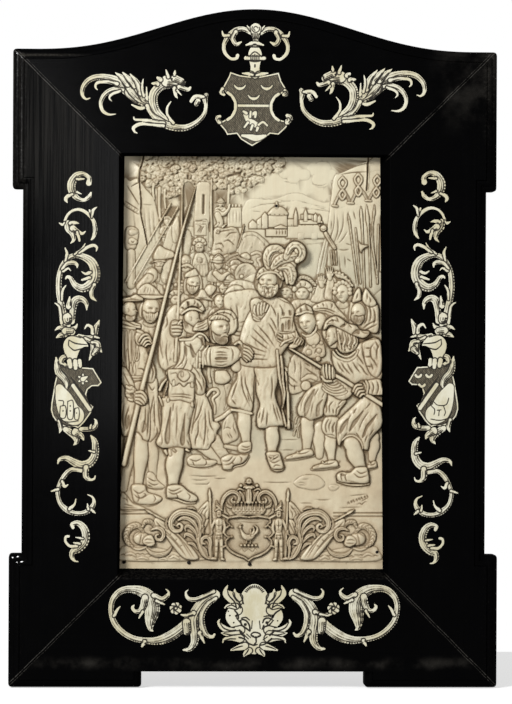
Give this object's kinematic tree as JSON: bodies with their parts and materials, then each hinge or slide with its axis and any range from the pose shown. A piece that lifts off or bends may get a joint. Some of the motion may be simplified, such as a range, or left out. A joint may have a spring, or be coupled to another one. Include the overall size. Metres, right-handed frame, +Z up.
{
  "type": "framed relief plaque",
  "caption": "Carved ivory panel of a military camp scene, pinned in a black eared frame with an arched top and engraved bone inlays.",
  "frame": {"origin": "centre of the back face, behind the middle of the carved panel, on the plane that lies against the wall", "axes": "+X to the viewer's right, +Y into the wall, +Z up; the carving faces -Y"},
  "size_m": [0.3174, 0.023, 0.4403],
  "materials": {
    "ebonised_wood": "worn polish",
    "ivory": "satin",
    "bone": "satin, engraved",
    "board_wood": "bare",
    "iron": "dark"
  },
  "bodies": {
    "root": {"relief_panel": "ivory", "back_board": "board_wood", "frame_top_rail": "ebonised_wood", "frame_bottom_rail": "ebonised_wood", "frame_left_rail": "ebonised_wood", "frame_right_rail": "ebonised_wood", "pin_bottom_1": "iron", "pin_bottom_2": "iron", "pin_bottom_3": "iron", "pin_bottom_4": "iron", "pin_sky": "iron", "inlay_top_arms": "bone", "inlay_top_dragon_left": "bone", "inlay_top_dragon_right": "bone", "inlay_bottom_mask": "bone", "inlay_bottom_scroll_left": "bone", "inlay_bottom_scroll_right": "bone", "inlay_bottom_rosette_left": "bone", "inlay_left_cartouche": "bone", "inlay_left_ring": "bone", "inlay_left_arms": "bone", "inlay_left_scroll": "bone", "inlay_left_leaf": "bone", "inlay_right_cartouche": "bone", "inlay_right_ring": "bone", "inlay_right_arms": "bone", "inlay_right_scroll": "bone", "inlay_right_leaf": "bone"}
  },
  "joints": []
}
